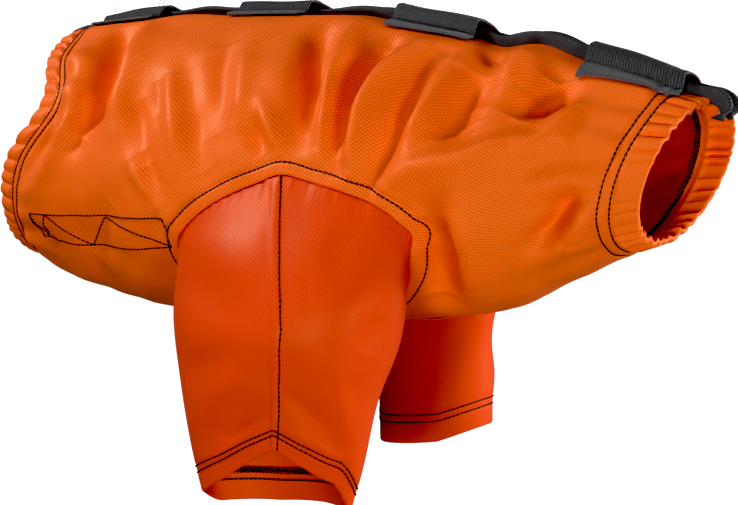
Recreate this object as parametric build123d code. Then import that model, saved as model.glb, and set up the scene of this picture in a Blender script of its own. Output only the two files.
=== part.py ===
"""Hand warmer muff: a cloth barrel with a strapped slit along its top, elastic ends and two hanging sleeves.

Millimetres. X runs along the tunnel, the near side is -Y and Z is up. The origin is on the tunnel's axis,
midway between the two sleeves. The barrel is a stack of cones, and every layer, band, binding and pad of it
is a shell between two growths of that stack, trimmed by planes. A strap lies within one cone, so that its
sewn end is a straight line.
"""
from build123d import *
from functools import lru_cache
from math import cos, radians, sin
import os

# ---- cloth ----
CLOTH = 2.4              # wall of the barrel and of the sleeves
SEAM_GAP = 0.2           # half of the gap where the two sides of the barrel meet
FAR_OUT = 2000.0         # size of a block that stands for a half space

# ---- barrel: (x, height of the section's centre, outer radius) ----
STATIONS = [
    (-430, 9, 72), (-298, 6, 93), (-256, 2, 103), (-182, 0, 111.5), (-115, -1, 113.5), (-40, 1, 111),
    (24, 2, 104.5), (98, 3, 93), (130, 5, 86.5), (172, 12, 69), (245, 18, 44.5), (300, 19, 43),
]

# ---- ends: each rim lies in a plane that leans about Y and is turned about Z, nearer the middle on the near side ----
LEFT_RIM_X, LEFT_RIM_LEAN, LEFT_RIM_TURN = -321.0, 15.0, 20.0
RIGHT_RIM_X, RIGHT_RIM_LEAN, RIGHT_RIM_TURN = 238.0, 17.0, -12.0
ELASTIC_WIDTH, ELASTIC_THICKNESS = 20.0, 1.2
CHANNEL_PLAY = 0.4       # room round the elastic in its channel
RIM_TURN = 1.6           # cloth that turns round the channel's outer end
CASING_STITCH = 4.0      # cloth sewn together past the channel's inner end
FACING = 1.0             # turned-in cloth inside the channel

# ---- slit and bindings along the top ----
BINDING_HEIGHT, BINDING_WIDTH = 8.0, 4.6
SLIT_HALF = 0.5          # half of the gap between the two bindings
BINDING_SEAT = 0.1

# ---- near flap: the cloth between the slit and the fold line ----
FOLD_Z = 32.0
FOLD_GAP = 0.5

# ---- straps, each within one cone of the barrel ----
STRAP_WIDTH = 64.0
STRAP_THICKNESS = 1.8
STRAP_X = [-219.0, -77.5, 61.0, 208.5]
BASE_ARC = (14.0, 25.0)           # sewn end, as distances round the barrel from the slit, on the near side
PAD_ARC = (34.0, 68.0)            # hook and loop pads, on the far side
PAD_INSET = 2.0
PAD_THICKNESS = 1.3
HINGE_GAP = 0.9                   # from the sewn end to the strap that lifts
LAYER_GAP = 0.3
ARCH_RISE = 2.5                   # extra height of the strap above the bindings
ARCH_HALF = 5.0                   # half of the arch's flat top

# ---- sleeves: (centre's distance from the XZ plane, its z, lean of the section, half width, half depth) ----
SLEEVE_SECTIONS = [
    (45, -15, 52, 98, 66), (82, -55, 40, 94, 58), (95, -105, 15, 77, 48), (98, -150, 3, 67, 42),
    (100, -215, 0, 60, 36), (102, -290, 0, 54, 32),
]
ARMHOLE_GAP = 3.0
HEM_Y, HEM_Z, HEM_LEAN = 100.0, -206.0, 26.0
HEM_DEPTH, HEM_FACING = 24.0, 1.6

# ---- patches sewn inside the barrel: (lowest x, highest x), (lowest z, highest z) ----
PATCH_THICKNESS = 1.0
NEAR_PATCH_X, NEAR_PATCH_Z = (-252.0, -104.0), (-60.0, -26.0)
FAR_PATCH_X, FAR_PATCH_Z = (96.0, 196.0), (0.0, 42.0)


@lru_cache(maxsize=None)
def barrel(grow=0.0):
    """The filled barrel, with its radius grown by an amount."""
    rings = [Plane(origin=(x, 0, z), x_dir=(0, 1, 0), z_dir=(1, 0, 0)) * Circle(r + grow) for x, z, r in STATIONS]
    return loft(rings, ruled=True)


@lru_cache(maxsize=None)
def layer(outer, inner):
    """The shell of the barrel between two growths."""
    return barrel(outer) - barrel(inner)


def section_at(x):
    """Centre height and radius of the barrel at one x."""
    for (x0, z0, r0), (x1, z1, r1) in zip(STATIONS, STATIONS[1:]):
        if x0 <= x <= x1:
            t = (x - x0) / (x1 - x0)
            return z0 + t * (z1 - z0), r0 + t * (r1 - r0)
    raise ValueError(f"no section at {x}")


def block(x=None, y=None, z=None):
    """A block between limits along each axis; a missing limit is far away."""
    spans = [limits or (-FAR_OUT, FAR_OUT) for limits in (x, y, z)]
    middles = [(low + high) / 2 for low, high in spans]
    sizes = [high - low for low, high in spans]
    return Pos(*middles) * Box(*sizes)


def rim_slabs(near_edge, far_edge):
    """The same band along both rims, its edges measured inwards from each rim."""
    left = Pos(LEFT_RIM_X, 0, 0) * Rot(0, 0, LEFT_RIM_TURN) * Rot(0, LEFT_RIM_LEAN, 0)
    right = Pos(RIGHT_RIM_X, 0, 0) * Rot(0, 0, RIGHT_RIM_TURN) * Rot(0, RIGHT_RIM_LEAN, 0)
    return [left * block(x=(near_edge, far_edge)), right * block(x=(-far_edge, -near_edge))]


def between_rims(solid):
    """Trims a solid of the barrel at both rims."""
    for outside in rim_slabs(-FAR_OUT, 0):
        solid = solid - outside
    return solid


def export(name, shape):
    """Writes one node and says how many solids it holds."""
    solids = list(shape.solids())
    whole = solids[0] if len(solids) == 1 else Compound(children=solids)
    export_step(whole, f"parts/{name}.step")
    print(name, len(solids), round(sum(s.volume for s in solids)))


def casings():
    """The turned-in cloth along both rims, which makes the channels for the elastic."""
    channel_depth = ELASTIC_THICKNESS + CHANNEL_PLAY
    channel_end = RIM_TURN + ELASTIC_WIDTH + CHANNEL_PLAY
    turned_in = layer(-CLOTH, -(CLOTH + channel_depth + FACING))
    channel = layer(-CLOTH, -(CLOTH + channel_depth))
    bands = rim_slabs(0, channel_end + CASING_STITCH)
    rooms = rim_slabs(RIM_TURN, channel_end)
    return [(turned_in & band) - (channel & room) for band, room in zip(bands, rooms)]


def sleeve_form(side, grow=0.0):
    """The filled sleeve on one side (-1 near, +1 far), wider all round by an amount."""
    rings = []
    for y, z, lean, half_x, half_depth in SLEEVE_SECTIONS:
        down = (0, side * sin(radians(lean)), -cos(radians(lean)))
        section = Plane(origin=(0, side * y, z), x_dir=(1, 0, 0), z_dir=down)
        rings.append(section * Ellipse(half_x + grow, half_depth + grow))
    return loft(rings, ruled=True)


def below_hem(side, raised):
    """The space below the hem's leaning plane, which is higher on the sleeve's outer side."""
    lower_half = Pos(0, 0, -FAR_OUT / 2) * Box(FAR_OUT, FAR_OUT, FAR_OUT)
    return Pos(0, side * HEM_Y, HEM_Z + raised) * Rot(side * HEM_LEAN, 0, 0) * lower_half


def sleeve(side):
    """A sleeve with its turned-in hem, from just outside the barrel down to the hem."""
    inner = sleeve_form(side, -CLOTH)
    tube = sleeve_form(side) - inner
    facing = (inner - sleeve_form(side, -CLOTH - HEM_FACING)) & below_hem(side, HEM_DEPTH)
    whole = (tube + facing) - below_hem(side, 0) - barrel(ARMHOLE_GAP)
    return whole.solids().sort_by(Axis.Z)[0]


def panels():
    """The cloth of the barrel: the far panel, the near panel below the fold and the near flap above it."""
    cloth = between_rims(layer(0, -CLOTH))
    for casing in casings():
        cloth = cloth + casing
    top = block(y=(-SLIT_HALF, SLIT_HALF), z=(0, FAR_OUT))
    bottom = block(y=(-SEAM_GAP, SEAM_GAP), z=(-FAR_OUT, 0))
    cloth = cloth - top - bottom
    near = cloth & block(y=(-FAR_OUT, 0))
    export("far_panel", (cloth & block(y=(0, FAR_OUT))) - sleeve_form(1, ARMHOLE_GAP))
    export("near_panel", (near & block(z=(-FAR_OUT, FOLD_Z - FOLD_GAP))) - sleeve_form(-1, ARMHOLE_GAP))
    export("near_flap", near & block(z=(FOLD_Z, FAR_OUT)))


def elastics():
    """The elastic in each casing: a long piece below the fold and a short one in the flap."""
    start = RIM_TURN + CHANNEL_PLAY / 2
    outer = -(CLOTH + CHANNEL_PLAY / 2)
    ring = layer(outer, outer - ELASTIC_THICKNESS) - block(y=(-SLIT_HALF, SLIT_HALF), z=(0, FAR_OUT))
    flap = block(y=(-FAR_OUT, 0), z=(FOLD_Z, FAR_OUT))
    flap_and_gap = block(y=(-FAR_OUT, 0), z=(FOLD_Z - FOLD_GAP, FAR_OUT))
    for end, band in zip(("left", "right"), rim_slabs(start, start + ELASTIC_WIDTH)):
        strip = ring & band
        export(f"{end}_elastic", strip - flap_and_gap)
        export(f"{end}_elastic_flap_end", strip & flap)


def bindings():
    """The black bindings that stand along both edges of the slit."""
    ridge = between_rims(layer(BINDING_HEIGHT + BINDING_SEAT, BINDING_SEAT)) & block(z=(0, FAR_OUT))
    outer = SLIT_HALF + BINDING_WIDTH
    export("near_binding", ridge & block(y=(-outer, -SLIT_HALF)))
    export("far_binding", ridge & block(y=(SLIT_HALF, outer)))


def patches():
    """The cloth patches sewn inside the near panel's left end and the far panel's right end."""
    outer = -(CLOTH + LAYER_GAP)
    sheet = layer(outer, outer - PATCH_THICKNESS)
    export("near_patch", sheet & block(x=NEAR_PATCH_X, y=(-FAR_OUT, 0), z=NEAR_PATCH_Z))
    export("far_patch", sheet & block(x=FAR_PATCH_X, y=(0, FAR_OUT), z=FAR_PATCH_Z))


def smooth(start, end, at):
    """0 before start, 1 after end and an even curve between."""
    t = min(1.0, max(0.0, (at - start) / (end - start)))
    return t * t * (3 - 2 * t)


def strap_height(arc):
    """How far the strap's underside lies off the barrel, at a distance round it from the slit."""
    over = BINDING_SEAT + BINDING_HEIGHT + LAYER_GAP + ARCH_RISE
    on_pads = 2 * (PAD_THICKNESS + LAYER_GAP) + LAYER_GAP
    rising = LAYER_GAP + (over - LAYER_GAP) * smooth(-BASE_ARC[0], -ARCH_HALF, arc)
    falling = (over - on_pads) * smooth(ARCH_HALF, PAD_ARC[0] - 3, arc)
    return rising - falling


def strip_round(x_limits, arcs, height, thickness):
    """A bent strip across the barrel; height gives its underside at a distance round from the slit."""
    middle_radius = section_at(sum(x_limits) / 2)[1]
    faces = []
    for x in x_limits:
        centre, radius = section_at(x)
        low, high = [], []
        for arc in arcs:
            turn = arc / middle_radius
            for edge, reach in ((low, radius + height(arc)), (high, radius + height(arc) + thickness)):
                edge.append((x, reach * sin(turn), centre + reach * cos(turn)))
        outline = Wire([Spline(low), Line(low[-1], high[-1]), Spline(high[::-1]), Line(high[0], low[0])])
        faces.append(Face(outline))
    return loft(faces, ruled=True)


def spread(start, end, steps):
    """Evenly spaced values from start to end."""
    return [start + (end - start) * i / steps for i in range(steps + 1)]


def closure(number, x):
    """One closure: the sewn end, the strap that lifts, the hook pad under it and the loop pad on the barrel."""
    limits = (x - STRAP_WIDTH / 2, x + STRAP_WIDTH / 2)
    inside = (limits[0] + PAD_INSET, limits[1] - PAD_INSET)
    base_arcs = spread(-BASE_ARC[1], -BASE_ARC[0], 4)
    strap_arcs = spread(HINGE_GAP - BASE_ARC[0], PAD_ARC[1], 20)
    pad_arcs = spread(PAD_ARC[0], PAD_ARC[1] - PAD_INSET, 8)
    hook_height = 2 * LAYER_GAP + PAD_THICKNESS
    export(f"strap_base_{number}", strip_round(limits, base_arcs, lambda arc: LAYER_GAP, STRAP_THICKNESS))
    export(f"strap_{number}", strip_round(limits, strap_arcs, strap_height, STRAP_THICKNESS))
    export(f"hook_pad_{number}", strip_round(inside, pad_arcs, lambda arc: hook_height, PAD_THICKNESS))
    export(f"loop_pad_{number}", strip_round(inside, pad_arcs, lambda arc: LAYER_GAP, PAD_THICKNESS))


def main():
    os.makedirs("parts", exist_ok=True)
    panels()
    elastics()
    bindings()
    patches()
    for number, x in enumerate(STRAP_X, start=1):
        closure(number, x)
    export("near_sleeve", sleeve(-1))
    export("far_sleeve", sleeve(1))


main()
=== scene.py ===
"""Looks of the hand warmer muff: gathered twill barrel, bound slit with tape straps, and two hanging sleeves.

Lengths are millimetres until a mesh is made, in the CAD frame: X along the barrel, near side -Y, +Z up.
A place on the barrel is (x, a): a is the angle round from the slit on top, negative on the near side.
"""
import bmesh
import bpy
import math
import numpy as np
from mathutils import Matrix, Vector


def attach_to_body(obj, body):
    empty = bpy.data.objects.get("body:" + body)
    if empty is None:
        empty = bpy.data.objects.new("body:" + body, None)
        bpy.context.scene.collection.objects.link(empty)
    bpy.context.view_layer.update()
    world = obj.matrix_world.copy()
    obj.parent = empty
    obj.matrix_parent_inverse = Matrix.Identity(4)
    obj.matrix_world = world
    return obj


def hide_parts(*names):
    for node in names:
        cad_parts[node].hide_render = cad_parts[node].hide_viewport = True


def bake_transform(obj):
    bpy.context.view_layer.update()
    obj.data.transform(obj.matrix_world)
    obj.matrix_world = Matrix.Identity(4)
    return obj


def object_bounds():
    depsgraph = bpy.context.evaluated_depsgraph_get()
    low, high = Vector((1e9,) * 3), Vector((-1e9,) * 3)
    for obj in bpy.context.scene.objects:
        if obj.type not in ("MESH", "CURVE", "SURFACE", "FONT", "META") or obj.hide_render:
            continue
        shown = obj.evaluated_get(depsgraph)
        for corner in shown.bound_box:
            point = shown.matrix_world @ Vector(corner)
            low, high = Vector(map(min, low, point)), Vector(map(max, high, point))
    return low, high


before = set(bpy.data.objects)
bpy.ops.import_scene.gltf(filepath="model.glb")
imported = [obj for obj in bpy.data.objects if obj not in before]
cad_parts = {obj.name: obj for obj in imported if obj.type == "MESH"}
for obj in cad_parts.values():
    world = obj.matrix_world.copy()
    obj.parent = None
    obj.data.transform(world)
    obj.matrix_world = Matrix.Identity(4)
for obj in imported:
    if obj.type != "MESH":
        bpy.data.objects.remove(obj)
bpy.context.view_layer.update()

MM = 0.001
NAMES = {-1: "near", 1: "far"}       # the two sides of the barrel, by the sign of Y
BELLY = math.pi
SLIT = 1.1               # half of the slit's gap at the cloth
CLOTH = 1.1              # thickness of the cloth
UNROLL = 105.0           # mean radius, at which angles are unrolled into lengths
CASING = 24.0            # from the rim to the casing's inner row of stitches
TWIN = 6.4               # between the two rows of a twin needle
CASING_DEPTH = 3.8       # from the cloth outside to the cloth turned in
FACING_END = 3.5         # turned-in cloth past the inner row of stitches
END_ROWS = 110.0         # length of cloth by each rim whose rows follow the rim
TOPSTITCH = 8.5          # from the armhole seam to its topstitch
STITCH, STITCH_GAP, THREAD = 3.3, 0.25, 0.6      # length, gap and radius

# barrel: (x, height of the section's centre, radius), as in the CAD
STATIONS = np.array([
    (-430, 9, 72), (-298, 6, 93), (-256, 2, 103), (-182, 0, 111.5), (-115, -1, 113.5), (-40, 1, 111),
    (24, 2, 104.5), (98, 3, 93), (130, 5, 86.5), (172, 12, 69), (245, 18, 44.5), (300, 19, 43)], float)
LEFT_RIM = (-321.0, 15.0, 20.0)      # x on the axis, lean about Y, turn about Z
RIGHT_RIM = (238.0, 17.0, -12.0)

# straps: centres, width and the reach of each part round the barrel from the slit
STRAP_X = (-219.0, -77.5, 61.0, 208.5)
STRAP_WIDTH = 64.0
BASE_ARC, PAD_ARC = (14.0, 25.0), (34.0, 68.0)

# the photograph is taken from this far round to the right of the near side
VIEW_TURN = math.radians(33.8)


# ---------------------------------------------------------------- curves and noise

def hermite(x, xs, ys):
    """Smooth curve through (xs, ys) that doesn't overshoot much."""
    xs, ys = np.asarray(xs, float), np.asarray(ys, float)
    slope = np.gradient(ys, xs)
    i = np.clip(np.searchsorted(xs, x) - 1, 0, len(xs) - 2)
    h = xs[i + 1] - xs[i]
    t = (x - xs[i]) / h
    a, b = 2 * t**3 - 3 * t**2 + 1, t**3 - 2 * t**2 + t
    c, d = -2 * t**3 + 3 * t**2, t**3 - t**2
    return a * ys[i] + b * h * slope[i] + c * ys[i + 1] + d * h * slope[i + 1]


def smooth(low, high, at):
    t = np.clip((at - low) / (high - low), 0, 1)
    return t * t * (3 - 2 * t)


def ripple(at, seed, waves):
    """Periodic 1-D noise of an angle, between about -1 and 1; waves are whole numbers of waves a turn."""
    rng = np.random.RandomState(seed)
    total = np.zeros_like(np.asarray(at, float))
    for k in waves:
        height = rng.uniform(0.4, 1.0)
        total = total + height * np.sin(k * at + rng.uniform(0, 2 * math.pi)) / len(waves)**0.5
    return total


def cloud(u, v, seed, count=26, low=0.6, high=2.4):
    """Soft 2-D noise from a sum of waves; a unit of u or v is one feature."""
    rng = np.random.RandomState(seed)
    total = np.zeros(np.broadcast(u, v).shape)
    for _ in range(count):
        turn, size = rng.uniform(0, 2 * math.pi), rng.uniform(low, high)
        total = total + np.sin(size * (u * math.cos(turn) + v * math.sin(turn)) + rng.uniform(0, 2 * math.pi))
    return total / math.sqrt(count)


def stroke_distance(px, py, points):
    """Distance to a polyline, and how far along it (0 to 1) the nearest point lies."""
    points = np.asarray(points, float)
    spans = np.hypot(*np.diff(points, axis=0).T)
    reach = np.concatenate([[0], np.cumsum(spans)]) / spans.sum()
    best, along = np.full(px.shape, 1e9), np.zeros(px.shape)
    for (ax, ay), (bx, by), r0, r1 in zip(points, points[1:], reach, reach[1:]):
        dx, dy = bx - ax, by - ay
        t = np.clip(((px - ax) * dx + (py - ay) * dy) / (dx * dx + dy * dy), 0, 1)
        gap = np.hypot(px - ax - t * dx, py - ay - t * dy)
        closer = gap < best
        best = np.where(closer, gap, best)
        along = np.where(closer, r0 + t * (r1 - r0), along)
    return best, along


def fold_relief(px, py, strokes):
    """Sum of soft ridges (+) and valleys (-): each stroke is (height, half width, points)."""
    total = np.zeros(px.shape)
    for height, width, points in strokes:
        low, high = np.min(points, 0) - 2.6 * width, np.max(points, 0) + 2.6 * width
        near = (px > low[0]) & (px < high[0]) & (py > low[1]) & (py < high[1])
        gap, along = stroke_distance(px[near], py[near], points)
        taper = 0.25 + 0.75 * np.sin(np.pi * np.clip(along, 0.02, 0.98))**0.6
        total[near] += height * taper * np.exp(-(gap / width)**2)
    return total


# ---------------------------------------------------------------- the barrel's surface

X_TABLE = np.linspace(-430, 300, 1461)
CENTRE_TABLE = hermite(X_TABLE, STATIONS[:, 0], STATIONS[:, 1])
RADIUS_TABLE = hermite(X_TABLE, STATIONS[:, 0], STATIONS[:, 2])
TURN_TABLE = np.linspace(-math.pi, math.pi, 1441)


def centre(x):
    return np.interp(x, X_TABLE, CENTRE_TABLE)


def radius(x):
    return np.interp(x, X_TABLE, RADIUS_TABLE)


def cut_by_plane(x0, lean, turn):
    """Where a rim's leaning plane cuts the barrel, at each angle of the table."""
    lean, turn = math.radians(lean), math.radians(turn)
    x = np.full(TURN_TABLE.shape, x0, float)
    for _ in range(40):
        y, z = radius(x) * np.sin(TURN_TABLE), centre(x) + radius(x) * np.cos(TURN_TABLE)
        x = 0.5 * x + 0.5 * (x0 - math.tan(turn) * y + math.tan(lean) / math.cos(turn) * z)
    return x


RIM_TABLES = {rim: cut_by_plane(*rim) for rim in (LEFT_RIM, RIGHT_RIM)}
# the left casing is drawn in on the upper near side
RIM_TABLES[LEFT_RIM] = RIM_TABLES[LEFT_RIM] + 5 + 31 * np.exp(-((np.degrees(TURN_TABLE) + 61) / 20)**2)


def rim_x(rim, a):
    return np.interp(a, TURN_TABLE, RIM_TABLES[rim])


DEGREE = 1.75            # millimetres round the barrel to a degree, where folds are laid out
NEAR_DEPTH = 2.1         # the near folds' heights are multiplied by this

# (height, half width, [(x, degrees), ...]) of the folds on the near side
FOLDS = [
    (-8, 13, [(-206, -14), (-190, -34), (-176, -56), (-190, -76)]),
    (4.5, 12, [(-176, -20), (-158, -44), (-150, -70)]),
    (4.5, 12, [(-232, -34), (-206, -56), (-200, -72)]),
    (-5.5, 10, [(-212, -72), (-228, -84), (-252, -94)]),
    (4, 9, [(-196, -66), (-214, -80), (-250, -100)]),
    (-3, 9, [(-137, -60), (-117, -78)]), (-2.6, 8, [(-121, -50), (-112, -66)]),
    (-4.2, 12, [(-102, -46), (-82, -64), (-62, -86)]), (3, 9, [(-118, -48), (-98, -62), (-82, -80)]),
    (-5, 13, [(-84, -32), (-68, -52), (-55, -72)]), (2.5, 9, [(-60, -36), (-42, -58), (-30, -72)]),
    (-3.6, 8, [(-34, -66), (-14, -78)]), (3, 7, [(-24, -60), (-2, -76)]),
    (-8.5, 12, [(-16, -16), (-6, -34), (5, -54), (14, -70)]),
    (5.5, 9, [(10, -18), (20, -40), (25, -58), (30, -76)]),
    (-7.5, 10, [(42, -22), (37, -42), (35, -60), (43, -80)]),
    (4.5, 9, [(64, -24), (54, -50), (48, -68), (52, -84)]),
    (-5.5, 9, [(86, -24), (81, -50), (74, -72), (64, -90)]), (4, 10, [(100, -32), (94, -52), (88, -70)]),
    (-7, 16, [(122, -32), (112, -50), (114, -62), (124, -68)]),
    (5, 10, [(156, -70), (124, -77), (96, -81), (80, -88)]),
    (-8, 14, [(166, -26), (162, -42), (150, -56)]), (5, 12, [(138, -14), (140, -38)]),
    (-5, 9, [(108, -10), (122, -22)]), (3.5, 9, [(182, -46), (176, -66), (160, -80)]),
    (-6, 9, [(190, -100), (182, -112), (168, -124)]), (6, 12, [(204, -102), (200, -118), (186, -130)]),
    (-9, 14, [(100, -100), (104, -118), (92, -146)]), (3, 12, [(128, -96), (130, -118), (118, -140)]),
    (-3.2, 8, [(-114, -84), (-100, -98)]), (3.2, 7, [(-128, -84), (-106, -94), (-94, -104)]),
    (-3, 14, [(-150, -100), (-190, -128)]), (2.5, 14, [(-120, -128), (-170, -146)]),
    (-4, 15, [(-230, -118), (-268, -132)]), (3, 12, [(-262, -108), (-292, -118)]),
]
# and on the far side, where they are guessed
FAR_FOLDS = [
    (-7, 13, [(-200, 40), (-180, 62), (-190, 84)]), (5, 12, [(-160, 36), (-146, 60), (-140, 88)]),
    (-6, 12, [(-110, 30), (-88, 56), (-60, 82)]), (4, 10, [(-60, 34), (-42, 60)]),
    (-7, 12, [(-20, 36), (0, 58), (8, 76)]), (4.5, 10, [(24, 30), (30, 56), (26, 80)]),
    (-6, 11, [(56, 40), (48, 66), (60, 88)]), (5, 11, [(104, 34), (94, 62), (86, 84)]),
    (-7, 14, [(134, 30), (122, 56), (130, 84)]), (4, 10, [(168, 44), (160, 70), (150, 96)]),
    (-6, 13, [(104, 102), (108, 124), (92, 148)]), (-4, 14, [(-130, 96), (-170, 124)]),
    (4, 12, [(-220, 90), (-262, 104)]), (-5, 11, [(-236, 112), (-270, 128)]),
]


# armhole seam: (degrees round the seam from its top, x, degrees round the barrel)
ARMHOLE = [
    (-148, -52, 147), (-118, -84, 132), (-90, -91, 115), (-58, -79, 105), (-41.6, -62, 99), (-23.3, -38, 93),
    (-8.2, -15, 88.5), (0, -2, 86), (16.6, 24, 88), (35.6, 51, 91.5), (59, 76, 98), (73, 85, 104),
    (90, 89, 110), (103, 86, 117), (122, 78, 132), (148, 50, 146), (180, 0, 152)]
ARMHOLE_TABLE = np.array([(b + turn, x, a) for turn in (-360, 0, 360) for b, x, a in ARMHOLE], float)


def armhole(side, b):
    """The armhole seam on the barrel: b is 0 at its top and grows towards +X."""
    keys, xs, angles = ARMHOLE_TABLE.T
    return hermite(np.degrees(b), keys, xs), side * np.radians(hermite(np.degrees(b), keys, angles))


# samples of the seam every half degree, from its bottom; the upper half lies between -90 and 90 degrees
SEAM_SAMPLES = {side: np.stack(armhole(side, np.linspace(-math.pi, math.pi, 721)[:-1])) for side in (-1, 1)}
UPPER_HALF = slice(181, 541)


def to_armhole(side, x, a):
    """Signed distance from the armhole seam, negative inside it, and the nearest place on it."""
    sx, sa = SEAM_SAMPLES[side]
    flat = np.stack([np.ravel(x), np.ravel(a) * UNROLL], 1)
    seam = np.stack([sx, sa * UNROLL], 1)
    gap, nearest = np.full(len(flat), 1e3), np.zeros(len(flat), int)
    turn = side * flat[:, 1] / UNROLL
    close = np.flatnonzero((np.abs(flat[:, 0]) < 112) & (turn > 1.28) & (turn < 2.85))
    for part in np.array_split(close, max(1, len(close) // 4000)):
        d = np.hypot(flat[part, None, 0] - seam[None, :, 0], flat[part, None, 1] - seam[None, :, 1])
        nearest[part] = d.argmin(1)
        gap[part] = d.min(1)
    top = np.interp(flat[:, 0], sx[UPPER_HALF], np.abs(sa[UPPER_HALF]))
    lower_x, lower_a = np.delete(sx, UPPER_HALF), np.delete(sa, UPPER_HALF)
    order = np.argsort(lower_x)
    under = np.interp(flat[:, 0], lower_x[order], np.abs(lower_a)[order])
    angle = np.abs(flat[:, 1]) / UNROLL
    inside = (angle > top) & (angle < under) & (flat[:, 0] > sx.min()) & (flat[:, 0] < sx.max()) \
        & (np.sign(flat[:, 1]) == side)
    return np.where(inside, -gap, gap).reshape(np.shape(x)), nearest.reshape(np.shape(x))


def gathers(a, d, count, seed, calm=0.0):
    """Puffs of cloth in a casing, and the soft pleats that run in from it; d is the distance from the rim."""
    wander = 1.3 * ripple(a, seed, (2, 3, 5, 7, 11)) + 0.012 * d * ripple(a, seed + 5, (4, 7, 9))
    puff = np.abs(np.sin(count * a / 2 + wander))**0.7 - 0.62
    strength = 0.8 + 0.5 * ripple(a, seed + 1, (3, 5, 8, 13))
    strength = strength * (1 - calm * np.exp(-((np.degrees(a) + 98) / 32)**4))
    channel = smooth(-1, 5, d) * (1 - smooth(CASING - TWIN - 5, CASING - TWIN + 1, d))
    rim = 1 - smooth(0, 6, d)
    pleats = ripple(a, seed + 2, (count // 2, count // 3, count // 3 + 4, count // 5)) * 0.9
    run_in = smooth(CASING - 3, CASING + 8, d) * np.exp(-np.clip(d - CASING, 0, 400) / 34)
    pinch = -1.3 * (np.exp(-((d - CASING) / 2.4)**2) + np.exp(-((d - CASING + TWIN) / 2.0)**2))
    return puff * strength * (3.9 * channel + 2.4 * rim) + pleats * 3.0 * run_in + pinch


def relief(x, a):
    """How far the cloth stands off the plain barrel."""
    degrees = np.degrees(a)
    total = fold_relief(x, -np.abs(degrees) * DEGREE, [
        (NEAR_DEPTH * h, w, [(px, pa * DEGREE) for px, pa in points]) for h, w, points in FOLDS]) * (a <= 0)
    total = total + fold_relief(x, np.abs(degrees) * DEGREE, [
        (h, w, [(px, pa * DEGREE) for px, pa in points]) for h, w, points in FAR_FOLDS]) * (a > 0)
    total = total + 1.5 * cloud(x / 26, a * 2.6, 5) + 0.5 * cloud(x / 9, a * 9, 6)
    near_top = smooth(math.radians(7), math.radians(24), np.abs(a))
    under_pads = 1 - (1 - smooth(60, 85, a * radius(x))) * (a > 0)
    under_tabs = np.ones(np.shape(x))
    for middle in STRAP_X:
        tab = np.exp(-((x - middle) / 36)**6) * np.exp(-((np.abs(a) * radius(x) - 18) / 14)**4)
        under_tabs = under_tabs - 0.85 * tab
    total = total * near_top * under_pads * np.clip(under_tabs, 0.1, 1)
    left, right = x - rim_x(LEFT_RIM, a), rim_x(RIGHT_RIM, a) - x
    total = total * smooth(10, 60, left) * smooth(12, 52, right)
    total = total + gathers(a, left, 50, 11) + gathers(a, right, 34, 23, 0.7)
    edge = np.exp(-(a * radius(x) / 7)**2)
    total = total * (1 - 0.75 * edge) + 2.2 * edge * smooth(20, 70, left) * smooth(20, 60, right)
    for side in (-1, 1):
        gap, _ = to_armhole(side, x, a)
        band = smooth(-0.5, 1.5, gap) * (1 - smooth(7.5, 10.5, gap))
        pucker = 0.5 + 0.5 * np.sin(x * 0.9 + 3 * np.sin(x * 0.13))
        total = total + band * (1.1 + 0.4 * pucker) - 1.1 * np.exp(-((gap - 9.5) / 1.7)**2)
    return total


def wave_of_slit(x):
    """The slit's edge rises between the straps and dips beside them."""
    waves = ((3.5, 4, 34), (5, 146, 22), (-3, 112, 14), (2.5, -150, 30), (3.0, 215, 26))
    return sum(height * np.exp(-((x - middle) / width)**2) for height, middle, width in waves)


def shoulder(x, a):
    """The closed straps pull the near side up beside the slit."""
    pull = 5.0 * smooth(-300, -262, x) * (1 - smooth(0, 40, x))
    pull = pull + 3.6 * np.exp(-((x - 61) / 40)**4) + 4.5 * np.exp(-((x - 206) / 38)**4)
    return pull * np.exp(-((a * radius(x) + 22) / 15)**2)


def low_edge(x):
    """The bindings lie lower along the left half, where the cloth is fuller."""
    return 1 - 0.22 * (1 - smooth(-30, 40, x))


def place(x, a, off=0.0):
    """Point on the cloth, off millimetres outside it."""
    x, a = np.broadcast_arrays(np.asarray(x, float), np.asarray(a, float))
    reach = radius(x) + relief(x, a) + off
    lift = wave_of_slit(x) * np.exp(-(a / 0.34)**2) + shoulder(x, a)
    return np.stack([x, reach * np.sin(a), centre(x) + reach * np.cos(a) + lift], -1)


# ---------------------------------------------------------------- meshes

def new_mesh(name, points, faces, uvs=None):
    """A smooth-shaded object from points in millimetres."""
    mesh = bpy.data.meshes.new(name)
    mesh.from_pydata((np.asarray(points) * MM).tolist(), [], faces)
    mesh.validate()
    if uvs is not None:
        layer = mesh.uv_layers.new(name="cloth")
        at = np.empty(len(mesh.loops), int)
        mesh.loops.foreach_get("vertex_index", at)
        layer.data.foreach_set("uv", np.asarray(uvs)[at].ravel())
    mesh.shade_smooth()
    mesh.update()
    piece = bpy.data.objects.new(name, mesh)
    bpy.context.scene.collection.objects.link(piece)
    return piece


def grid(name, points, uvs, keep=None, closed=False):
    """A mesh from a grid of points; closed joins the last column to the first."""
    rows, columns = points.shape[:2]
    number = np.arange(rows * columns).reshape(rows, columns)
    if closed:
        number = np.concatenate([number, number[:, :1]], 1)
    quads = np.stack([number[:-1, :-1], number[:-1, 1:], number[1:, 1:], number[1:, :-1]], -1)
    quads = quads.reshape(-1, 4) if keep is None else quads[keep]
    used, quads = np.unique(quads, return_inverse=True)
    quads = quads.reshape(-1, 4)
    return new_mesh(name, points.reshape(-1, 3)[used], quads.tolist(), uvs.reshape(-1, 2)[used])


def thicken(piece, thickness, offset=-1.0):
    solid = piece.modifiers.new("thickness", "SOLIDIFY")
    solid.thickness = thickness * MM
    solid.offset = offset
    solid.use_rim = True
    return piece


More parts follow.
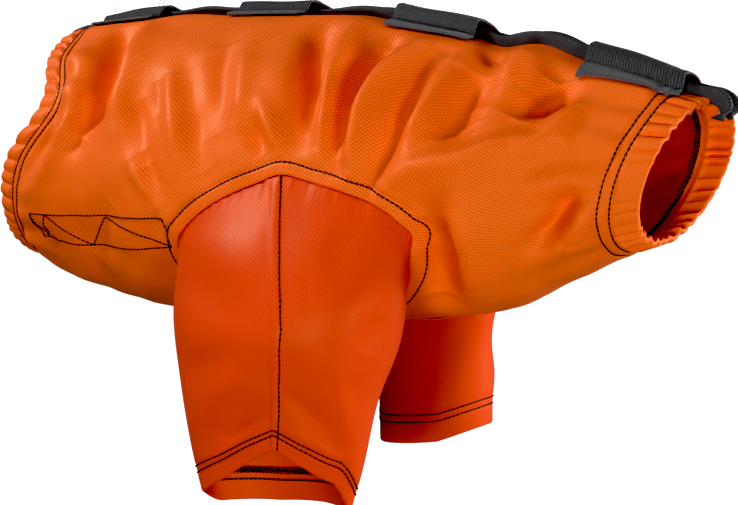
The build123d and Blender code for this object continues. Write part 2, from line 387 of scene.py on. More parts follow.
def dress(piece, material):
    piece.data.materials.append(material)
    return piece


def threads(name, line, length=STITCH, gap=STITCH_GAP, thickness=THREAD):
    """Stitches along a line of points (n by 3): each is a small bead, bowed and thinner at its ends."""
    line = np.asarray(line, float)
    run = np.concatenate([[0], np.cumsum(np.linalg.norm(np.diff(line, axis=0), axis=1))])
    count = max(1, int(run[-1] / (length + gap)))
    pitch = run[-1] / count
    where = (np.arange(count) * pitch + (pitch - length) / 2)[:, None] + np.linspace(0, length, 5)
    core = np.stack([np.interp(where, run, line[:, k]) for k in range(3)], -1)
    along = core[:, -1] - core[:, 0]
    along = along / (np.linalg.norm(along, axis=1, keepdims=True) + 1e-9)
    side = np.cross(along, (0.3, 0.5, 0.81))
    side = side / (np.linalg.norm(side, axis=1, keepdims=True) + 1e-9)
    up = np.cross(side, along)
    width = thickness * np.array([0.45, 0.95, 1.05, 0.95, 0.45])
    turn = np.arange(6) * math.pi / 3
    ring = np.cos(turn)[:, None] * side[:, None] + np.sin(turn)[:, None] * up[:, None]
    points = core[:, :, None] + width[None, :, None, None] * ring[:, None]
    step, k = np.meshgrid(np.arange(4), np.arange(6), indexing="ij")
    this, following = 6 * step + k, 6 * step + (k + 1) % 6
    corner = np.stack([this, following, following + 6, this + 6], -1)
    faces = (corner.reshape(1, -1, 4) + 30 * np.arange(count)[:, None, None]).reshape(-1, 4).tolist()
    for start in range(0, 30 * count, 30):
        faces.append(tuple(range(start + 5, start - 1, -1)))
        faces.append(tuple(range(start + 24, start + 30)))
    return new_mesh(name, points.reshape(-1, 3), faces)


# ---------------------------------------------------------------- materials

def material(name, colour, roughness, **sockets):
    m = bpy.data.materials.new(name)
    m.use_nodes = True
    shader = m.node_tree.nodes["Principled BSDF"]
    shader.inputs["Base Color"].default_value = (*colour, 1)
    shader.inputs["Roughness"].default_value = roughness
    for socket, value in sockets.items():
        shader.inputs[socket.replace("_", " ")].default_value = value
    return m, m.node_tree.nodes, m.node_tree.links, shader


def mix_colour(nodes, links, factor, a, b):
    mix = nodes.new("ShaderNodeMix")
    mix.data_type = "RGBA"
    for socket, value in ((mix.inputs[0], factor), (mix.inputs[6], a), (mix.inputs[7], b)):
        if hasattr(value, "links"):
            links.new(value, socket)
        else:
            socket.default_value = value if isinstance(value, float) else (*value, 1)
    return mix.outputs[2]


def weave(nodes, links, turn, scale, distortion=0.0):
    """Fine parallel ribs over the cloth's own coordinates."""
    at = nodes.new("ShaderNodeTexCoord")
    place_at = nodes.new("ShaderNodeMapping")
    place_at.inputs["Rotation"].default_value[2] = math.radians(turn)
    wave = nodes.new("ShaderNodeTexWave")
    wave.inputs["Scale"].default_value = scale
    wave.inputs["Distortion"].default_value = distortion
    links.new(at.outputs["UV"], place_at.inputs["Vector"])
    links.new(place_at.outputs["Vector"], wave.inputs["Vector"])
    return wave.outputs["Fac"]


def twill(name, light, mid, dark, roughness, pitch, contrast):
    """Satin-faced twill: small floats on the diagonal, slow changes of colour, and tinted highlights."""
    m, nodes, links, shader = material(
        name, mid, roughness, Sheen_Weight=0.05, Sheen_Roughness=0.3, Sheen_Tint=(1.0, 0.4, 0.08, 1),
        Specular_IOR_Level=0.38, Specular_Tint=(1.0, 0.6, 0.2, 1), IOR=1.4)
    ribs = weave(nodes, links, -52, 31.4 / pitch, 0.3)
    cross = weave(nodes, links, 40, 36.0 / pitch, 0.2)
    floats = nodes.new("ShaderNodeMath")
    floats.operation = "MULTIPLY"
    links.new(ribs, floats.inputs[0])
    links.new(cross, floats.inputs[1])
    at = nodes.new("ShaderNodeTexCoord")
    slow = nodes.new("ShaderNodeTexNoise")
    slow.inputs["Scale"].default_value = 14
    slow.inputs["Detail"].default_value = 3
    links.new(at.outputs["Object"], slow.inputs["Vector"])
    base = mix_colour(nodes, links, slow.outputs["Fac"], dark, mid)
    dotted = mix_colour(nodes, links, floats.outputs[0], dark, light)
    links.new(mix_colour(nodes, links, contrast, base, dotted), shader.inputs["Base Color"])
    bump = nodes.new("ShaderNodeBump")
    bump.inputs["Strength"].default_value = 0.5
    bump.inputs["Distance"].default_value = 0.00012 * pitch
    links.new(floats.outputs[0], bump.inputs["Height"])
    links.new(bump.outputs["Normal"], shader.inputs["Normal"])
    return m


def tape(name, colour, light, scale, turn, depth, roughness, fuzz):
    """Narrow tape: ribs at a turn, with dusty light fibres on top; on the tab these are lighter, as real lint
    and a painted sheen.
    """
    m, nodes, links, shader = material(
        name, colour, roughness, Sheen_Weight=fuzz, Sheen_Roughness=0.5, Sheen_Tint=(0.8, 0.82, 0.85, 1),
        Specular_IOR_Level=0.25)
    ribs = weave(nodes, links, turn, scale, 0.6)
    at = nodes.new("ShaderNodeTexCoord")
    dust = nodes.new("ShaderNodeTexNoise")
    dust.inputs["Scale"].default_value = 1400
    dust.inputs["Detail"].default_value = 4
    links.new(at.outputs["Object"], dust.inputs["Vector"])
    lint = nodes.new("ShaderNodeValToRGB")
    lint.color_ramp.elements[0].position, lint.color_ramp.elements[1].position = 0.58, 0.72
    links.new(dust.outputs["Fac"], lint.inputs["Fac"])
    ribbed = mix_colour(nodes, links, ribs, colour, tuple(c * 1.9 for c in colour))
    links.new(mix_colour(nodes, links, lint.outputs["Color"], ribbed, light), shader.inputs["Base Color"])
    add = nodes.new("ShaderNodeMath")
    add.operation = "ADD"
    links.new(ribs, add.inputs[0])
    links.new(dust.outputs["Fac"], add.inputs[1])
    bump = nodes.new("ShaderNodeBump")
    bump.inputs["Strength"].default_value = 0.8
    bump.inputs["Distance"].default_value = depth
    links.new(add.outputs[0], bump.inputs["Height"])
    links.new(bump.outputs["Normal"], shader.inputs["Normal"])
    return m


BODY_CLOTH = twill("twill_body", light=(1.0, 0.46, 0.11), mid=(0.90, 0.145, 0.036), dark=(0.82, 0.11, 0.032),
                   roughness=0.45, pitch=2.0, contrast=0.5)
# the same twill as the body, painted darker and redder as shade; used on the sleeves and on the patches
# inside
SHADED_TWILL = twill("twill_painted_shade", light=(0.92, 0.19, 0.05), mid=(0.76, 0.085, 0.032),
                     dark=(0.68, 0.07, 0.03), roughness=0.42, pitch=1.5, contrast=0.35)
# tapes: name, colour, colour of the lint, ribs, their turn, bump depth, roughness, fuzz
BINDING = tape("binding_black", (0.035, 0.034, 0.035), (0.06, 0.06, 0.062), 24, 0, 0.0002, 0.6, 0.05)
STRAP = tape("strap_ribbed", (0.032, 0.032, 0.033), (0.15, 0.15, 0.155), 17, 0, 0.0004, 0.5, 0.06)
LOOP = tape("loop_pile", (0.036, 0.036, 0.037), (0.17, 0.17, 0.175), 30, 45, 0.0006, 0.7, 0.2)
# the tab's lint is painted lighter grey: real lint, and a painted sheen where the flat tab catches the light
TAB = tape("tab_lint_and_painted_sheen", (0.05, 0.05, 0.052), (0.32, 0.32, 0.33), 26, 90, 0.0005, 0.7, 0.3)
HOOK = tape("hook_rows", (0.012, 0.012, 0.012), (0.05, 0.05, 0.05), 34, 90, 0.0006, 0.5, 0.1)
ELASTIC = tape("elastic_knit", (0.62, 0.6, 0.56), (0.7, 0.69, 0.66), 30, 90, 0.0004, 0.7, 0.2)
THREAD_BLACK = material("thread_black", (0.038, 0.031, 0.030), 0.7, Specular_IOR_Level=0.1)[0]
THREAD_GREY = material("thread_grey", (0.30, 0.30, 0.31), 0.6, Sheen_Weight=0.2)[0]
THREAD_WHITE = material("thread_white", (0.8, 0.78, 0.76), 0.6)[0]


# ---------------------------------------------------------------- barrel cloth

def cloth_rows():
    """Rows along the barrel: (distance from the left rim or None, from the right rim or None, offset)."""
    turn = np.linspace(0, math.pi, 8)
    edge = CASING_DEPTH / 2
    rows = [(d, None, -CASING_DEPTH) for d in np.linspace(CASING + FACING_END, edge, 18)]
    rows += [(edge - edge * math.sin(t), None, -edge - edge * math.cos(t)) for t in turn[1:-1]]
    outer = np.concatenate([np.linspace(edge, CASING + 8, 26), np.linspace(CASING + 8, END_ROWS, 50)[1:]])
    rows += [(d, None, 0.0) for d in outer]
    middle = len(rows)
    rows += [(None, d, 0.0) for d in outer[::-1]]
    rows += [(None, edge - edge * math.sin(t), -edge - edge * math.cos(t)) for t in turn[1:-1][::-1]]
    rows += [(None, d, -CASING_DEPTH) for d in np.linspace(edge, CASING + FACING_END, 18)]
    return rows, middle


def barrel_cloth(side):
    """One side of the barrel's cloth, from its slit edge down to the belly, with both casings turned in."""
    rows, middle = cloth_rows()
    top = SLIT / 100.0
    a = side * (top + (BELLY - top) * np.linspace(0, 1, 330))
    left, right = rim_x(LEFT_RIM, a), rim_x(RIGHT_RIM, a)
    xs = [left + from_left for from_left, _, _ in rows[:middle]]
    offs = [off for _, _, off in rows[:middle]]
    inner_left, inner_right = left + END_ROWS, right - END_ROWS
    for t in np.linspace(0, 1, 182)[1:-1]:
        xs.append(inner_left + (inner_right - inner_left) * t)
        offs.append(0.0)
    xs += [right - from_right for _, from_right, _ in rows[middle:]]
    offs += [off for _, _, off in rows[middle:]]
    x = np.array(xs)
    angle = np.broadcast_to(a, x.shape).copy()
    gap, nearest = to_armhole(side, x, angle)
    inside = gap < 0
    hole = inside[:-1, :-1] & inside[1:, :-1] & inside[:-1, 1:] & inside[1:, 1:]
    sx, sa = SEAM_SAMPLES[side]
    x = np.where(inside, sx[nearest], x)
    angle = np.where(inside, sa[nearest], angle)
    points = place(x, angle, np.array(offs)[:, None])
    uvs = np.stack([x / 100, angle * UNROLL / 100], -1)
    piece = grid(f"{NAMES[side]}_cloth", points, uvs, keep=~hole)
    if side > 0:
        piece.data.flip_normals()
    return dress(thicken(piece, CLOTH), BODY_CLOTH)


def attach(piece, side):
    """The near side is baked in place, and the far side stays with the shell."""
    if side < 0:
        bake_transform(piece)
    else:
        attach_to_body(piece, "shell")


# ---------------------------------------------------------------- sleeves

# sleeve sections from the armhole down: (x, half width, y, half depth, z) with y outwards
SLEEVE_SECTIONS = {
    -1: [(-4.5, 90, 98, 48, -88), (-10.5, 79, 100, 42, -136), (-12.5, 70, 99, 36, -176),
         (-14, 60, 98, 31, -209)],
    1: [(-2, 60, 98, 40, -84), (-4, 51, 100, 32, -128), (-4, 50, 101, 31, -168), (-3.5, 50, 101, 30, -209)]}
# the hem's height along it, in front and behind: (x, z front, z behind)
HEM_HEIGHTS = {
    -1: [(-80, -228, -234), (-62, -217, -234), (-31, -198, -232), (-12, -185, -229), (8, -173, -226),
         (29, -185, -224), (53, -203, -221), (72, -213, -216)],
    1: [(-56, -222, -222), (-47, -227, -228), (16, -215, -216), (47, -203, -203), (56, -204, -204)]}


def sleeve_rings(side, b):
    """Control rings of a sleeve from the armhole to the hem, each (3 by n), for angles b round it."""
    ax, aa = armhole(side, b)
    plain = radius(ax)
    made = [np.stack([ax, plain * np.sin(aa), centre(ax) + plain * np.cos(aa)])]
    front, across = np.cos(b), np.sin(b)
    *upper, hem = SLEEVE_SECTIONS[side]
    table = np.array(HEM_HEIGHTS[side], float)
    x, half_x, y, half_y, z = hem
    hem_x = x + half_x * across
    facing = smooth(-0.35, 0.35, front)
    hem_z = (1 - facing) * np.interp(hem_x, table[:, 0], table[:, 2]) \
        + facing * np.interp(hem_x, table[:, 0], table[:, 1])
    for (ux, u_half_x, uy, u_half_y, uz), share in zip(upper, (0.0, 0.28, 0.82)):
        lean = 16 * (front - 0.1) * (1 - share) * (uz + 190) / 100
        made.append(np.stack([ux + u_half_x * across, side * (uy + u_half_y * front),
                              uz + lean + share * (hem_z - z)]))
    made.append(np.stack([hem_x, side * (y + half_y * front), hem_z]))
    return made


# how far down each control ring lies
SLEEVE_KNOTS = np.array([0.0, 0.27, 0.55, 0.79, 1.0])
SLEEVE_DROP = 215.0      # from the armhole to the hem
FOLD_DROP = 170.0        # the same in the units of the folds' degrees

# where the lengthwise seam runs: (fraction down, degrees round from the front)
SLEEVE_SEAM = np.array([
    (0, 1.5), (0.07, 6.5), (0.16, 13.5), (0.24, 19), (0.32, 22.5), (0.49, 24), (0.7, 24.5), (1, 24)])

# (height, half width, [(degrees round from the front, fraction down), ...]); widths in degrees
SLEEVE_FOLDS = {
    -1: [(3.4, 12, [(-44, 0.06), (-12, 0.15), (10, 0.18)]), (-4.0, 13, [(-56, 0.20), (-6, 0.28), (14, 0.26)]),
         (3.0, 11, [(40, 0.03), (30, 0.10), (24, 0.18)]), (2.6, 14, [(32, 0.24), (46, 0.21), (62, 0.20)]),
         (-4.0, 11, [(74, 0.22), (70, 0.36)]), (2.8, 12, [(38, 0.38), (52, 0.50), (66, 0.68)]),
         (-3.6, 10, [(28, 0.60), (43, 0.68), (58, 0.78)]), (2.6, 9, [(34, 0.84), (62, 0.87)]),
         (3.2, 11, [(-34, 0.74), (-16, 0.61), (6, 0.50)]), (-3.2, 11, [(-46, 0.56), (-26, 0.50), (-8, 0.44)]),
         (-3.2, 11, [(-18, 0.82), (4, 0.74), (18, 0.70)]), (-2.6, 9, [(30, 0.10), (48, 0.12)]),
         (-3.0, 16, [(130, 0.30), (160, 0.60)]), (3.0, 16, [(-130, 0.40), (-160, 0.70)])],
    1: [(2.4, 14, [(-60, 0.20), (-20, 0.42)]), (-3.0, 14, [(20, 0.30), (60, 0.54)]),
        (2.4, 14, [(-150, 0.30), (-110, 0.60)]), (-2.0, 16, [(120, 0.40), (160, 0.72)]),
        (2.0, 14, [(40, 0.70), (80, 0.84)])],
}


def sleeve_point(side, b, t, off=0.0):
    """Points on a sleeve: b round from its front seam, t from 0 at the armhole to 1 at the hem."""
    b, t, off = np.broadcast_arrays(np.asarray(b, float), np.asarray(t, float), np.asarray(off, float))
    shape = b.shape
    b, t, off = b.ravel(), t.ravel(), off.ravel()
    rings = np.stack(sleeve_rings(side, b))

    def surface(t):
        slope = np.gradient(rings, SLEEVE_KNOTS, axis=0)
        i = np.clip(np.searchsorted(SLEEVE_KNOTS, t) - 1, 0, len(SLEEVE_KNOTS) - 2)
        h = SLEEVE_KNOTS[i + 1] - SLEEVE_KNOTS[i]
        s = (t - SLEEVE_KNOTS[i]) / h
        n = np.arange(len(t))
        p0, p1 = rings[i, :, n].T, rings[i + 1, :, n].T
        m0, m1 = slope[i, :, n].T, slope[i + 1, :, n].T
        return ((2 * s**3 - 3 * s**2 + 1) * p0 + (s**3 - 2 * s**2 + s) * h * m0
                + (-2 * s**3 + 3 * s**2) * p1 + (s**3 - s**2) * h * m1)

    p = surface(t)
    ring_centre = np.stack([np.full_like(t, -8.0), side * (98.0 - 14 * (1 - t)), p[2]])
    out = p - ring_centre
    out = out / (np.linalg.norm(out, axis=0) + 1e-9)
    p = p + (place(*armhole(side, b), -0.6).T - rings[0]) * (1 - smooth(0, 0.07, t))
    degrees = np.degrees(b)
    fade = smooth(0.02, 0.12, t)
    bumps = fold_relief(degrees, t * FOLD_DROP, [
        (h, w, [(d, f * FOLD_DROP) for d, f in points]) for h, w, points in SLEEVE_FOLDS[side]]) * fade
    bumps = bumps + fade * 0.9 * cloud(np.sin(b) * 2.2 + t * 2, np.cos(b) * 2.2 + t * 1.2, 31 + side)
    from_hem = (1 - t) * SLEEVE_DROP
    hem_line = np.exp(-(from_hem - 26)**2 / 5.0) + np.exp(-(from_hem - 20)**2 / 5.0)
    beside = degrees - np.interp(t, *SLEEVE_SEAM.T)
    seam = smooth(-4.6, -3.9, beside) * (1 - 0.8 * smooth(-1.2, 0.3, beside)) * (1 - smooth(0.5, 3.0, beside))
    bumps = bumps + 1.2 * seam * smooth(0, 0.02, t) - 0.5 * hem_line
    bumps = bumps + 0.3 * np.sin(b * 60) * np.exp(-(t / 0.03)**2)
    return (p + out * (bumps + off)).T.reshape(*shape, 3)


def sleeve_cloth(side):
    """A sleeve down to its hem, and up again inside to the hem's edge."""
    b = np.linspace(-math.pi, math.pi, 421)[:-1]
    down = np.concatenate([np.linspace(0, 0.08, 14), np.linspace(0.08, 0.985, 120)[1:]])
    turn = np.linspace(0, math.pi, 7)[1:]
    up = np.linspace(0.985, 0.855, 16)[1:]
    t = np.concatenate([down, 0.985 + 0.009 * np.sin(turn), up])
    off = np.concatenate([np.zeros(len(down)), -1.2 + 1.2 * np.cos(turn), np.full(len(up), -2.4)])
    points = sleeve_point(side, b[None], t[:, None], off[:, None])
    reach = np.linspace(0, 2.5, len(t))
    uvs = np.stack(np.broadcast_arrays(b[None] * 0.72, -reach[:, None]), -1)
    piece = grid(f"{NAMES[side]}_sleeve_cloth", points, uvs, closed=True)
    if side < 0:
        piece.data.flip_normals()
    return dress(thicken(piece, 0.9), SHADED_TWILL)


def hang(piece):
    """A sleeve's piece is baked in place where it hangs from its armhole."""
    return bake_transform(piece)


# ---------------------------------------------------------------- bindings, straps, pads, elastics, patches

def sheet_on_barrel(name, x_limits, arcs, height, thickness, cloth, slot, counts):
    """A thin sheet over the cloth, height(arc, x) above it; arcs are millimetres round from the slit."""
    x = np.linspace(*x_limits, counts[0])[:, None]
    arc = np.linspace(*arcs, counts[1])[None]
    mid = radius((x_limits[0] + x_limits[1]) / 2)
    x, arc = np.broadcast_arrays(x, arc)
    points = over_barrel(x, arc, mid, height(arc, x) + thickness)
    uvs = np.stack([x / 100, arc / 100], -1)
    piece = grid(name, points, uvs)
    return dress(thicken(piece, thickness), cloth)


def flat_height(level):
    return lambda arc, x: level + 0 * arc


def strap_height(arc, x):
    """Underside of a strap: sewn at its base, arched over the bindings, and down on its pads."""
    over, on_pads = 10.4 * low_edge(x), 3.4
    rising = 0.3 + (over - 0.3) * smooth(-BASE_ARC[0], -5.5, arc)
    return rising - (over - on_pads) * smooth(8.0, PAD_ARC[0] + 4, arc) + 0.35 * np.sin(x * 0.11 + arc * 0.05)


def bend_at_base(piece, middle):
    """A strap's piece, baked in place; the point beside its sewn end is found but not used."""
    mid = radius(middle)
    start = place(middle, -(BASE_ARC[0] - 0.5) / mid, 0.5) * MM
    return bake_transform(piece)


def over_barrel(x, arc, mid, height):
    """Points a height above the cloth, straight out from the barrel's axis."""
    base = place(x, arc / mid)
    out = base - np.stack([x, np.zeros_like(x), centre(x)], -1)
    return base + out / np.linalg.norm(out, axis=-1, keepdims=True) * height[..., None]


def closure(number, middle):
    """A strap with its sewn base, pads and edge stitching."""
    limits = (middle - STRAP_WIDTH / 2, middle + STRAP_WIDTH / 2)
    inside = (limits[0] + 2, limits[1] - 2)
    mid = radius(middle)
    strap_cloth = STRAP if number != 3 else LOOP
    # kind, reach in x, reach in arc, underside, thickness, cloth, slot, rows and columns, body
    parts = [
        ("strap", limits, (-BASE_ARC[0] + 0.9, PAD_ARC[1]), strap_height, 1.5,
         strap_cloth, "strap_tape", (40, 60), None),
        ("strap_base", limits, (-BASE_ARC[1], -BASE_ARC[0]), flat_height(0.2), 1.6,
         TAB, "strap_tape", (40, 12), "near_flap"),
        ("hook_pad", inside, (PAD_ARC[0] + 2, PAD_ARC[1] - 2), flat_height(1.7), 1.2,
         HOOK, "hook_tape", (30, 20), f"strap_{number}"),
        ("loop_pad", inside, (PAD_ARC[0], PAD_ARC[1] - 2), flat_height(0.2), 1.2,
         LOOP, "loop_tape", (30, 20), "shell")]
    for kind, *shape, body in parts:
        piece = sheet_on_barrel(f"{kind}_{number}_tape", *shape)
        if body:
            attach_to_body(piece, body)
        else:
            bend_at_base(piece, middle)
        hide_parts(f"{kind}_{number}")
    edge_x = np.linspace(limits[0] + 1, limits[1] - 1, 50)
    for row, arc in (("lower", -BASE_ARC[1] + 1.2), ("upper", -BASE_ARC[0] - 1.5)):
        line = threads(f"strap_base_{number}_stitch_{row}", place(edge_x, arc / mid, 2.0), 1.6, 0.8, 0.3)
        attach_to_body(dress(line, THREAD_GREY), "near_flap")
    arcs = np.linspace(-BASE_ARC[0] + 1.5, PAD_ARC[1] - 1, 90)
    for row, x in (("left", limits[0] + 1.2), ("right", limits[1] - 1.2)):
        xs = np.full_like(arcs, x)
        path = over_barrel(xs, arcs, mid, strap_height(arcs, xs) + 1.6)
        line = threads(f"strap_{number}_stitch_{row}", path, 1.8, 0.5, 0.32)
        bend_at_base(dress(line, THREAD_GREY), middle)


def binding(side):
    """Rolled tape over one edge of the slit, its ends curled down over the rims."""
    a = side * 3.1 / 100
    left, right = float(rim_x(LEFT_RIM, np.array(a))), float(rim_x(RIGHT_RIM, np.array(a)))
    xs = np.linspace(left + 1, right - 1, 220)
    path = place(xs, np.full_like(xs, a))
    path[:, 1] = side * 3.3 + 0.5 * np.sin(xs / 17.0 + side) * side
    path[:, 2] += 0.9 * np.sin(xs / 23.0) - 1.0
    tail = []
    for i in range(1, 9):
        turn = math.radians(13 * i)
        tail.append(path[-1] + np.array([9 * math.sin(turn), side * 0.4 * i, -9 * (1 - math.cos(turn))]))
    head = []
    for i in range(1, 5):
        turn = math.radians(14 * i)
        head.append(path[0] + np.array([-5 * math.sin(turn), 0, -5 * (1 - math.cos(turn))]))
    path = np.concatenate([np.array(head[::-1]), path, np.array(tail)])
    along = np.gradient(path, axis=0)
    along = along / np.linalg.norm(along, axis=1, keepdims=True)
    across = np.cross(along, (0, 0, 1.0))
    across = across / np.linalg.norm(across, axis=1, keepdims=True)
    up = np.cross(across, along)
    turn = np.linspace(0, 2 * math.pi, 25)[:-1]
    wide = 2.35 * np.sign(np.cos(turn)) * np.abs(np.cos(turn))**0.7
    high = 5.6 + 5.2 * np.sign(np.sin(turn)) * np.abs(np.sin(turn))**0.75
    wide = wide * (1 - 0.25 * np.exp(-((high - 4.0) / 2.0)**2))
    swell = 1 + 0.05 * np.sin(np.arange(len(path)) * 0.35 + side)
    swell = swell[:, None, None]
    tall = swell * low_edge(path[:, 0])[:, None, None]
    points = path[:, None] + across[:, None] * wide[None, :, None] * swell \
        + up[:, None] * (high - 1.6)[None, :, None] * tall
    run = np.concatenate([[0], np.cumsum(np.linalg.norm(np.diff(path, axis=0), axis=1))])
    uvs = np.stack(np.broadcast_arrays(run[:, None] / 100, turn[None] * 0.04), -1)
    piece = grid(f"{NAMES[side]}_binding_tape", points, uvs, closed=True)
    close_ends(piece, len(path), 24)
    dress(piece, BINDING)
    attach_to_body(piece, "near_flap" if side < 0 else "shell")
    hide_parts(f"{NAMES[side]}_binding")


def close_ends(piece, rows, columns):
    """Caps both ends of a tube made by grid."""
    mesh = bmesh.new()
    mesh.from_mesh(piece.data)
    mesh.verts.ensure_lookup_table()
    for start in (0, (rows - 1) * columns):
        mesh.faces.new([mesh.verts[start + k] for k in range(columns)])
    bmesh.ops.recalc_face_normals(mesh, faces=mesh.faces)
    mesh.to_mesh(piece.data)
    mesh.free()
    piece.data.shade_smooth()


def elastic(end, rim, sign, side):
    """Elastic strip in a casing, on one side of the barrel."""
    a = side * np.linspace(0.03, BELLY, 150)
    d = np.linspace(3.0, 3.0 + 15.0, 8)[:, None]
    edge = rim_x(rim, a)[None]
    x = edge + sign * d
    points = place(x, np.broadcast_to(a, x.shape), -2.2)
    uvs = np.stack(np.broadcast_arrays(a[None] * 0.9, d / 100), -1)
    piece = grid(f"{NAMES[side]}_{end}_elastic_strip", points, uvs)
    dress(thicken(piece, 0.8, 0.0), ELASTIC)
    attach(piece, side)
    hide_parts(f"{end}_elastic" if side > 0 else f"{end}_elastic_flap_end")


def sewn(name, line, *size):
    """Black stitches in the orange cloth."""
    return dress(threads(name, line, *size), THREAD_BLACK)


def rim_line(rim, sign, side, d, off):
    """A line round one side of the barrel, d in from its rim."""
    a = side * np.linspace(0.02, BELLY, 500)
    x = rim_x(rim, a) + sign * d
    return place(x, a, off)


def zigzag(phase):
    """A wave from -1 to 1 with steep sides, for overlock threads."""
    return np.sign(np.sin(phase)) * np.abs(np.sin(phase))**0.6


def rim_stitching(side):
    """Both casings' twin rows outside, and the row and overlock that show inside."""
    for end, rim, sign in (("left", LEFT_RIM, 1), ("right", RIGHT_RIM, -1)):
        for row, d in (("outer", CASING - TWIN), ("inner", CASING)):
            line = rim_line(rim, sign, side, d, 0.25)
            attach(sewn(f"{NAMES[side]}_{end}_casing_stitch_{row}", line), side)
        line = rim_line(rim, sign, side, CASING - 1.0, -CASING_DEPTH - CLOTH - 0.5)
        attach(sewn(f"{NAMES[side]}_{end}_facing_stitch", line), side)
        a = side * np.linspace(0.03, BELLY, 1500)
        inward = CASING + 1.0 + 2.6 * zigzag(a * radius(rim[0]) * 1.9)
        line = place(rim_x(rim, a) + sign * inward, a, -CASING_DEPTH - CLOTH - 0.6)
        attach(sewn(f"{NAMES[side]}_{end}_overlock", line, 2.2, 0.1, 0.42), side)


def armhole_stitching(side):
    """The topstitch on the body, outside the armhole seam."""
    b = np.linspace(-math.pi, math.pi, 700)
    x, a = armhole(side, b)
    out = np.stack([np.gradient(a * UNROLL), -np.gradient(x)], 1) * side
    out = out / np.linalg.norm(out, axis=1, keepdims=True)
    seam_x, seam_a = x - out[:, 0] * TOPSTITCH, a - out[:, 1] * TOPSTITCH / UNROLL
    gap, _ = to_armhole(side, seam_x, seam_a)
    if np.median(gap) < 0:
        seam_x, seam_a = x + out[:, 0] * TOPSTITCH, a + out[:, 1] * TOPSTITCH / UNROLL
    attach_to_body(sewn(f"{NAMES[side]}_armhole_stitch", place(seam_x, seam_a, 0.45)), "shell")


def sleeve_stitching(side):
    """A sleeve's seam, the twin rows of its hem, and the row and overlock inside it."""
    t = np.linspace(0.0, 0.985, 300)
    along_seam = np.radians(np.interp(t, *SLEEVE_SEAM.T) + 0.4)
    hang(sewn(f"{NAMES[side]}_sleeve_seam_stitch", sleeve_point(side, along_seam, t, 0.35)))
    b = np.linspace(-math.pi, math.pi, 500)
    for row, back in (("upper", 0.118), ("lower", 0.09)):
        path = sleeve_point(side, b, np.full_like(b, 1 - back), 0.45)
        hang(sewn(f"{NAMES[side]}_hem_stitch_{row}", path))
    hang(sewn(f"{NAMES[side]}_hem_inner_stitch", sleeve_point(side, b, np.full_like(b, 0.905), -3.9)))
    b = np.linspace(-math.pi, math.pi, 1800)
    path = sleeve_point(side, b, 0.868 + 0.013 * zigzag(b * 150), -3.9)
    hang(sewn(f"{NAMES[side]}_hem_overlock", path, 2.4, 0.1, 0.42))


def sewn_lines(name, lines, off):
    """Stitches along straight runs between places (x, degrees) on the barrel."""
    for number, (start, end) in enumerate(lines, start=1):
        t = np.linspace(0, 1, 80)
        x = start[0] + (end[0] - start[0]) * t
        a = np.radians(start[1] + (end[1] - start[1]) * t)
        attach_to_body(sewn(f"{name}_{number}", place(x, a, off)), "shell")


def patch(name, node, x_limits, degrees, side):
    """A cloth patch sewn inside the barrel."""
    x = np.linspace(*x_limits, 60)[:, None]
    a = np.radians(np.linspace(*degrees, 40))[None]
    x, a = np.broadcast_arrays(x, a)
    piece = grid(name, place(x, a, -CLOTH - 0.5), np.stack([x / 100, a * 1.05], -1))
    dress(thicken(piece, 0.8, -1.0 if side < 0 else 1.0), SHADED_TWILL)
    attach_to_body(piece, "shell")
    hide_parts(node)


def near_patch():
    """The patch at the left end, whose zigzag and outline show on the outside."""
    patch("near_patch_cloth", "near_patch", (-250, -104), (-121.5, -104.5), -1)
    corners = [(-248, -109.5), (-98, -102.5), (-96, -113.5), (-190, -121.5), (-224, -121), (-252, -124.5)]
    lines = list(zip(corners, corners[1:] + corners[:1]))
    zig = [corners[0], (-246, -123.5), (-230, -108.6), (-190, -121.5), (-165, -106.5), corners[2]]
    sewn_lines("near_patch_stitch", lines + list(zip(zig, zig[1:])), 0.4)


def far_patch():
    """The patch at the right end, seen through the mouth."""
    patch("far_patch_cloth", "far_patch", (98, 196), (65, 92), 1)
    corners = [(100, 66), (194, 66), (194, 91), (100, 91)]
    lines = list(zip(corners, corners[1:] + corners[:1])) + [((100, 91), (194, 66)), ((150, 91), (194, 66))]
    sewn_lines("far_patch_stitch_inside", lines, -CLOTH - 1.9)
    sewn_lines("far_patch_stitch", lines, 0.4)


def loose_threads():
    """White ends at the bindings' right ends and wisps at the first strap."""
    for number, (side, spread) in enumerate(((-1, 1.0), (-1, -0.6), (1, 0.8)), start=1):
        end = place(float(rim_x(RIGHT_RIM, np.array(side * 0.03))) + 6, side * 0.03, -2)
        t = np.linspace(0, 1, 12)[:, None]
        line = end + t * np.array([1.5 * spread, side * 2.0, -7.0]) + np.sin(t * 5) * np.array([1.0, 0.6, 0])
        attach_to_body(dress(threads(f"white_thread_{number}", line, 2.4, 0.0, 0.3), THREAD_WHITE),
                "near_flap" if side < 0 else "shell")
    for number, (x, rise) in enumerate(((-196, 10), (-192, 7), (-246, 7)), start=1):
        t = np.linspace(0, 1, 12)[:, None]
        line = place(x, -0.03, 10) + t * np.array([5.0, 0, rise]) + np.sin(t * 4) * np.array([-2.0, 0, 0.5])
        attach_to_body(dress(threads(f"loose_wisp_{number}", line, 2.0, 0.0, 0.28), THREAD_BLACK),
                "near_flap")


# ---------------------------------------------------------------- assembly

for side in (-1, 1):
    cloth = barrel_cloth(side)
    attach(cloth, side)
    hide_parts(*(("near_panel", "near_flap") if side < 0 else ("far_panel",)))
    sleeve = sleeve_cloth(side)
    hang(sleeve)
    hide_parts(f"{NAMES[side]}_sleeve")
    rim_stitching(side)
    armhole_stitching(side)
    sleeve_stitching(side)
    binding(side)
    elastic("left", LEFT_RIM, 1, side)
    elastic("right", RIGHT_RIM, -1, side)
for number, middle in enumerate(STRAP_X, start=1):
    closure(number, middle)
near_patch()
far_patch()
loose_threads()


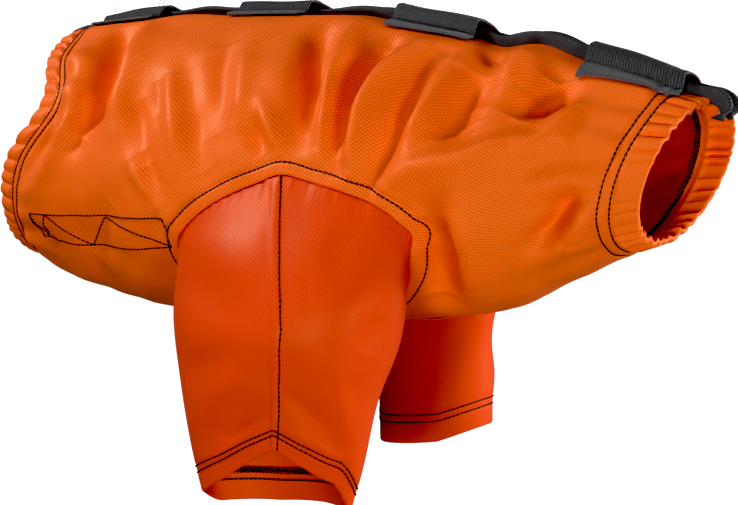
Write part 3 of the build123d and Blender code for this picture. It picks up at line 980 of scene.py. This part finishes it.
# ---------------------------------------------------------------- floor, lights and camera

def aim(thing, target):
    """Turns a lamp or the camera towards a place."""
    direction = Vector(target) - thing.location
    thing.rotation_euler = direction.to_track_quat("-Z", "Y").to_euler()


def backdrop():
    """A pale floor that curves up far behind into a softly lit wall."""
    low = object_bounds()[0][2] - 0.16
    profile = [(-2.2, 0.0), (2.0, 0.0)]
    profile += [(2.0 + 1.2 * math.sin(t), 1.2 - 1.2 * math.cos(t)) for t in np.linspace(0.2, math.pi / 2, 8)]
    profile += [(3.2, 4.0)]
    facing = Vector((-math.sin(VIEW_TURN), math.cos(VIEW_TURN)))
    across = Vector((facing.y, -facing.x))
    points = [(facing.x * d + across.x * w, facing.y * d + across.y * w, low + h)
              for d, h in profile for w in (-4.5, 4.5)]
    faces = [(2 * i, 2 * i + 1, 2 * i + 3, 2 * i + 2) for i in range(len(profile) - 1)]
    mesh = bpy.data.meshes.new("floor")
    mesh.from_pydata(points, [], faces)
    mesh.shade_smooth()
    piece = bpy.data.objects.new("floor", mesh)
    bpy.context.scene.collection.objects.link(piece)
    pale, _, _, shader = material("floor_pale", (0.93, 0.93, 0.93), 0.95)
    shader.inputs["Emission Color"].default_value = (1, 1, 1, 1)
    shader.inputs["Emission Strength"].default_value = 0.6
    piece.data.materials.append(pale)
    piece.visible_diffuse = False
    piece.visible_glossy = False


def lamp(name, place_at, size, power, target=(0, 0, -0.03)):
    light = bpy.data.lights.new(name, "AREA")
    light.shape, light.size, light.size_y = "RECTANGLE", size[0], size[1]
    light.energy = power
    thing = bpy.data.objects.new(name, light)
    thing.location = place_at
    bpy.context.scene.collection.objects.link(thing)
    aim(thing, target)


backdrop()
lamp("key", (-1.05, -0.62, 0.95), (0.2, 0.2), 14)
lamp("top", (0.15, -0.20, 1.2), (0.3, 0.3), 2)
lamp("low_front", (0.25, -1.40, -0.33), (0.35, 0.3), 11)
lamp("low_right", (1.2, -0.80, -0.28), (0.3, 0.3), 8)
lamp("edge", (1.15, 0.70, 0.25), (0.3, 0.8), 20)
lamp("wall", (-1.0, 1.4, 1.6), (2.0, 1.0), 30, (-1.9, 2.9, 0.6))

world = bpy.data.worlds.new("studio")
world.use_nodes = True
world.node_tree.nodes["Background"].inputs["Color"].default_value = (1, 1, 1, 1)
world.node_tree.nodes["Background"].inputs["Strength"].default_value = 0.11
bpy.context.scene.world = world
grade = bpy.context.scene.view_settings
grade.view_transform = "Standard"
grade.use_curve_mapping = True
grade.curve_mapping.black_level = (0.033, 0.033, 0.033)
grade.curve_mapping.update()

camera_data = bpy.data.cameras.new("camera")
camera_data.sensor_width = 36.0
camera_data.lens = 1380.0 / 738 * 36.0       # focal length over picture width, times the sensor's width
camera = bpy.data.objects.new("camera", camera_data)
camera.location = (math.sin(VIEW_TURN), -math.cos(VIEW_TURN), 0.095)
aim(camera, (0, 0, -0.056))
bpy.context.scene.collection.objects.link(camera)
bpy.context.scene.camera = camera
